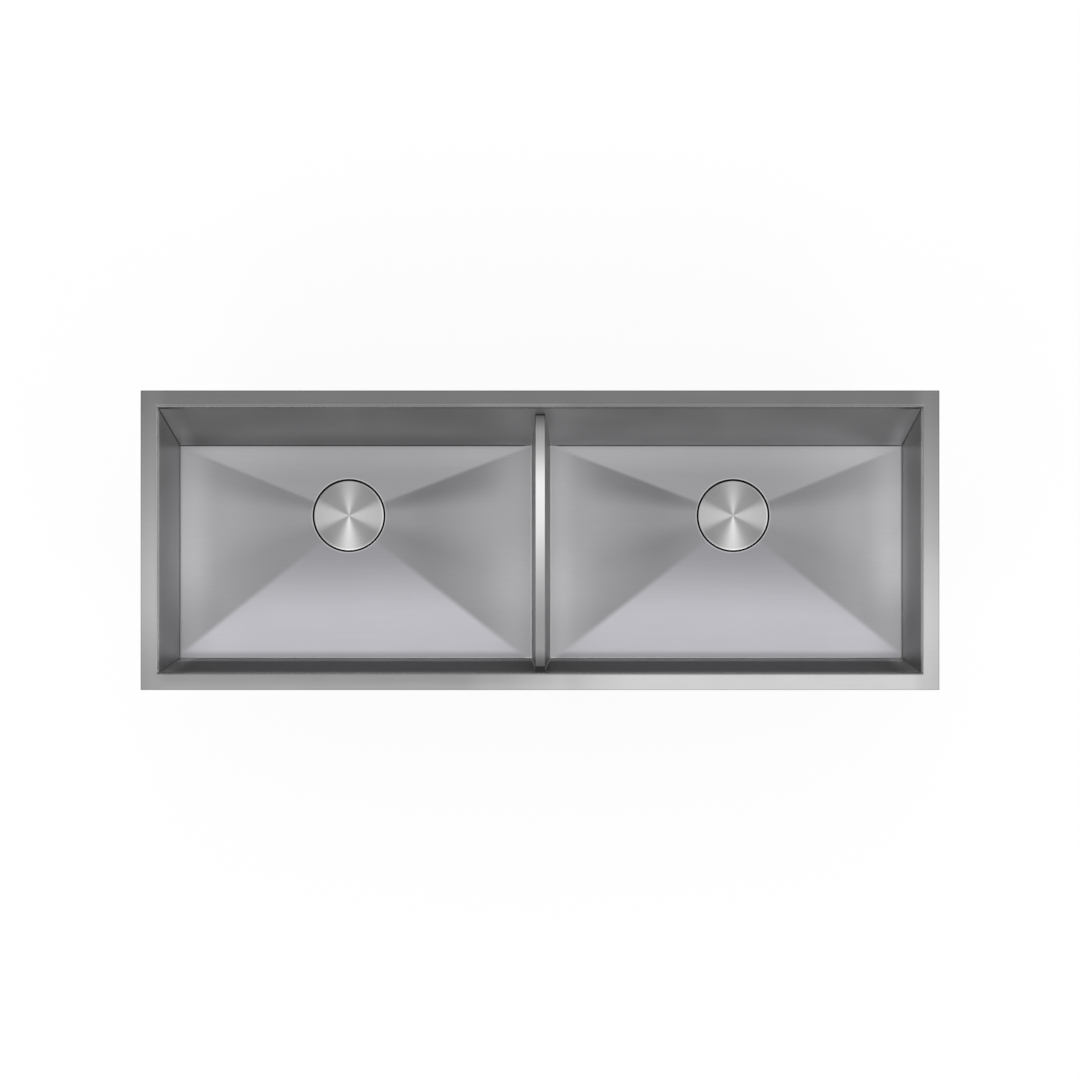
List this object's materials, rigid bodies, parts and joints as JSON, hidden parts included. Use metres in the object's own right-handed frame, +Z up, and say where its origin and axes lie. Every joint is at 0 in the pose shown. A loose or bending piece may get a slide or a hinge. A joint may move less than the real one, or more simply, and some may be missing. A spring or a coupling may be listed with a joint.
{
  "type": "double bowl kitchen sink",
  "caption": "Long stainless steel kitchen sink with two creased-floor bowls, a low divider between them, flat drain covers and under-flange fixing clips.",
  "frame": {"origin": "middle of the worktop cut-out, on the worktop's top face, where the seal under the flange rests", "axes": "+X along the sink to the right, +Y to the back wall behind the drains, +Z up out of the bowls"},
  "size_m": [1.2, 0.45, 0.379],
  "materials": {
    "rim_steel": "satin brushed stainless sheet",
    "bowl_steel": "satin brushed stainless sheet",
    "divider_steel": "satin brushed stainless sheet",
    "cover_steel": "stainless steel brushed in circles",
    "drain_steel": "pressed and polished stainless steel",
    "clip_steel": "zinc plated steel",
    "black_rubber": "matt moulded rubber",
    "pad_rubber": "matt sound-deadening rubber",
    "seal_foam": "closed-cell foam",
    "nut_plastic": "moulded plastic",
    "washer_card": "pressed fibre"
  },
  "bodies": {
    "root": {"rim_frame": "rim_steel", "rim_seal": "seal_foam", "left_bowl": "bowl_steel", "right_bowl": "bowl_steel", "divider_cap": "divider_steel", "floor_pads": "pad_rubber", "wall_pads": "pad_rubber", "clip_brackets": "clip_steel", "left_strainer_body": "drain_steel", "left_flange_gasket": "black_rubber", "left_under_gasket": "black_rubber", "left_friction_ring": "washer_card", "left_locknut": "nut_plastic", "left_tail_washer": "washer_card", "left_tailpiece": "drain_steel", "left_coupling_nut": "nut_plastic", "right_strainer_body": "drain_steel", "right_flange_gasket": "black_rubber", "right_under_gasket": "black_rubber", "right_friction_ring": "washer_card", "right_locknut": "nut_plastic", "right_tail_washer": "washer_card", "right_tailpiece": "drain_steel", "right_coupling_nut": "nut_plastic"},
    "left_basket": {"left_basket": "drain_steel"},
    "left_stopper": {"left_stopper_disc": "black_rubber", "left_stopper_spindle": "drain_steel", "left_stopper_knob": "drain_steel"},
    "left_cover": {"left_drain_cover": "cover_steel", "left_cover_ring": "black_rubber"},
    "right_basket": {"right_basket": "drain_steel"},
    "right_stopper": {"right_stopper_disc": "black_rubber", "right_stopper_spindle": "drain_steel", "right_stopper_knob": "drain_steel"},
    "right_cover": {"right_drain_cover": "cover_steel", "right_cover_ring": "black_rubber"},
    "clip_screw_1": {"clip_screw_1": "clip_steel"},
    "clip_claw_1": {"clip_claw_1": "clip_steel"},
    "clip_screw_2": {"clip_screw_2": "clip_steel"},
    "clip_claw_2": {"clip_claw_2": "clip_steel"},
    "clip_screw_3": {"clip_screw_3": "clip_steel"},
    "clip_claw_3": {"clip_claw_3": "clip_steel"},
    "clip_screw_4": {"clip_screw_4": "clip_steel"},
    "clip_claw_4": {"clip_claw_4": "clip_steel"},
    "clip_screw_5": {"clip_screw_5": "clip_steel"},
    "clip_claw_5": {"clip_claw_5": "clip_steel"},
    "clip_screw_6": {"clip_screw_6": "clip_steel"},
    "clip_claw_6": {"clip_claw_6": "clip_steel"},
    "clip_screw_7": {"clip_screw_7": "clip_steel"},
    "clip_claw_7": {"clip_claw_7": "clip_steel"},
    "clip_screw_8": {"clip_screw_8": "clip_steel"},
    "clip_claw_8": {"clip_claw_8": "clip_steel"}
  },
  "joints": [
    {"name": "left_basket_lift", "type": "slide", "parent": "root", "child": "left_basket", "axis": [0, 0, 1], "range_m": [0, 0.32]},
    {"name": "left_stopper_press", "type": "slide", "parent": "left_basket", "child": "left_stopper", "axis": [0, 0, -1], "range_m": [0, 0.009]},
    {"name": "left_cover_lift", "type": "slide", "parent": "left_basket", "child": "left_cover", "axis": [0, 0, 1], "range_m": [0, 0.26]},
    {"name": "right_basket_lift", "type": "slide", "parent": "root", "child": "right_basket", "axis": [0, 0, 1], "range_m": [0, 0.32]},
    {"name": "right_stopper_press", "type": "slide", "parent": "right_basket", "child": "right_stopper", "axis": [0, 0, -1], "range_m": [0, 0.009]},
    {"name": "right_cover_lift", "type": "slide", "parent": "right_basket", "child": "right_cover", "axis": [0, 0, 1], "range_m": [0, 0.26]},
    {"name": "clip_1_travel", "type": "slide", "parent": "root", "child": "clip_screw_1", "axis": [0, 0, 1], "range_m": [0, 0.02]},
    {"name": "clip_1_swing", "type": "hinge", "parent": "clip_screw_1", "child": "clip_claw_1", "pos_m": [0.13, 0.20789, -0.0425], "axis": [0, 0, 1], "range_deg": [0, 90]},
    {"name": "clip_2_travel", "type": "slide", "parent": "root", "child": "clip_screw_2", "axis": [0, 0, 1], "range_m": [0, 0.02]},
    {"name": "clip_2_swing", "type": "hinge", "parent": "clip_screw_2", "child": "clip_claw_2", "pos_m": [0.47, 0.20789, -0.0425], "axis": [0, 0, 1], "range_deg": [0, 90]},
    {"name": "clip_3_travel", "type": "slide", "parent": "root", "child": "clip_screw_3", "axis": [0, 0, 1], "range_m": [0, 0.02]},
    {"name": "clip_3_swing", "type": "hinge", "parent": "clip_screw_3", "child": "clip_claw_3", "pos_m": [-0.13, 0.20789, -0.0425], "axis": [0, 0, -1], "range_deg": [0, 90]},
    {"name": "clip_4_travel", "type": "slide", "parent": "root", "child": "clip_screw_4", "axis": [0, 0, 1], "range_m": [0, 0.02]},
    {"name": "clip_4_swing", "type": "hinge", "parent": "clip_screw_4", "child": "clip_claw_4", "pos_m": [-0.47, 0.20789, -0.0425], "axis": [0, 0, -1], "range_deg": [0, 90]},
    {"name": "clip_5_travel", "type": "slide", "parent": "root", "child": "clip_screw_5", "axis": [0, 0, 1], "range_m": [0, 0.02]},
    {"name": "clip_5_swing", "type": "hinge", "parent": "clip_screw_5", "child": "clip_claw_5", "pos_m": [0.13, -0.20789, -0.0425], "axis": [0, 0, -1], "range_deg": [0, 90]},
    {"name": "clip_6_travel", "type": "slide", "parent": "root", "child": "clip_screw_6", "axis": [0, 0, 1], "range_m": [0, 0.02]},
    {"name": "clip_6_swing", "type": "hinge", "parent": "clip_screw_6", "child": "clip_claw_6", "pos_m": [0.47, -0.20789, -0.0425], "axis": [0, 0, -1], "range_deg": [0, 90]},
    {"name": "clip_7_travel", "type": "slide", "parent": "root", "child": "clip_screw_7", "axis": [0, 0, 1], "range_m": [0, 0.02]},
    {"name": "clip_7_swing", "type": "hinge", "parent": "clip_screw_7", "child": "clip_claw_7", "pos_m": [-0.13, -0.20789, -0.0425], "axis": [0, 0, 1], "range_deg": [0, 90]},
    {"name": "clip_8_travel", "type": "slide", "parent": "root", "child": "clip_screw_8", "axis": [0, 0, 1], "range_m": [0, 0.02]},
    {"name": "clip_8_swing", "type": "hinge", "parent": "clip_screw_8", "child": "clip_claw_8", "pos_m": [-0.47, -0.20789, -0.0425], "axis": [0, 0, 1], "range_deg": [0, 90]}
  ]
}
